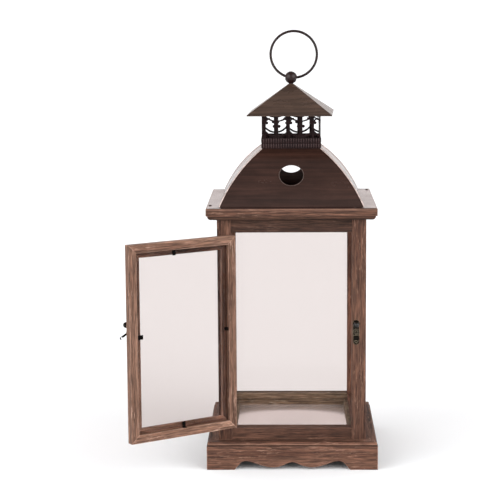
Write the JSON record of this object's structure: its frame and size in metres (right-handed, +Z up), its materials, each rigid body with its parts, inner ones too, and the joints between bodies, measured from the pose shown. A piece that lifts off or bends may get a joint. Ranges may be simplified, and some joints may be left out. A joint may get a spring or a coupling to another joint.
{
  "type": "hanging lantern",
  "caption": "Wooden candle lantern, glazed on its sides, with a glazed hinged door, a domed metal roof, a pierced vent gallery, a pyramid cap and a hanging ring.",
  "frame": {"origin": "centre of the square base, on the plane its feet stand on", "axes": "+Z up, +X to the viewer's right facing the door side, -Y towards the viewer"},
  "size_m": [0.3513, 0.3262, 0.6105],
  "materials": {
    "wood_body": "weathered warm brown stain, open grain, worn arrises",
    "wood_door": "weathered warm brown stain, slightly lighter",
    "wood_hidden": "plain dull board",
    "metal_roof": "dark bronze-brown paint, satin, faint streaks",
    "metal_gallery": "near-black brown paint, satin",
    "metal_ring": "near-black brown paint, satin",
    "glass": "clear, faintly warm",
    "floor_metal": "bright, glossy",
    "bronze_hardware": "antique bronze, dark",
    "clip_metal": "black",
    "hinge_metal": "antique bronze",
    "screw_metal": "dark bronze-brown"
  },
  "bodies": {
    "lantern": {"apron_back": "wood_body", "apron_front": "wood_body", "apron_left": "wood_body", "apron_right": "wood_body", "base_board": "wood_hidden", "base_plank_back": "wood_body", "base_plank_front": "wood_body", "base_plank_left": "wood_body", "base_plank_right": "wood_body", "bottom_rail_back": "wood_body", "bottom_rail_front": "wood_body", "bottom_rail_left": "wood_body", "bottom_rail_right": "wood_body", "cap": "metal_roof", "corner_blocks": "wood_hidden", "cornice_back": "wood_body", "cornice_front": "wood_body", "cornice_left": "wood_body", "cornice_right": "wood_body", "cross_strap": "metal_ring", "finial_ball": "metal_ring", "finial_bolt": "metal_ring", "floor_beads": "wood_body", "floor_panel": "wood_hidden", "floor_plate": "floor_metal", "frame_screws": "screw_metal", "glass_back": "glass", "glass_left": "glass", "glass_right": "glass", "hinge_leaves_frame": "hinge_metal", "hinge_pins": "hinge_metal", "keeper_knob": "bronze_hardware", "keeper_plate": "bronze_hardware", "post_back_left": "wood_body", "post_back_right": "wood_body", "post_front_left": "wood_body", "post_front_right": "wood_body", "roof_back": "metal_roof", "roof_front": "metal_roof", "roof_left": "metal_roof", "roof_right": "metal_roof", "roof_screws": "screw_metal", "top_rail_back": "wood_body", "top_rail_front": "wood_body", "top_rail_left": "wood_body", "top_rail_right": "wood_body", "vent_gallery": "metal_gallery"},
    "door": {"door_stile_hinge": "wood_door", "door_stile_free": "wood_door", "door_rail_top": "wood_door", "door_rail_bottom": "wood_door", "door_glass": "glass", "glass_clips": "clip_metal", "hinge_leaves_door": "hinge_metal", "door_screws": "screw_metal", "latch_plate": "bronze_hardware", "latch_knob": "bronze_hardware", "latch_pivot": "bronze_hardware"},
    "latch_arm": {"latch_arm": "bronze_hardware"},
    "ring": {"hanging_ring": "metal_ring"}
  },
  "joints": [
    {"name": "door_hinge", "type": "hinge", "parent": "lantern", "child": "door", "pos_m": [-0.0836, -0.1048, 0.19595], "axis": [0, 0, 1], "range_deg": [-31, 146.6]},
    {"name": "latch_pivot", "type": "hinge", "parent": "door", "child": "latch_arm", "pos_m": [-0.2178, -0.19484, 0.212], "axis": [-0.5505, 0.8348, 0], "range_deg": [-140, 80]},
    {"name": "ring_swing", "type": "hinge", "parent": "lantern", "child": "ring", "pos_m": [0, 0, 0.5431], "axis": [0.9923, 0, -0.1236], "range_deg": [-126, 124]}
  ]
}
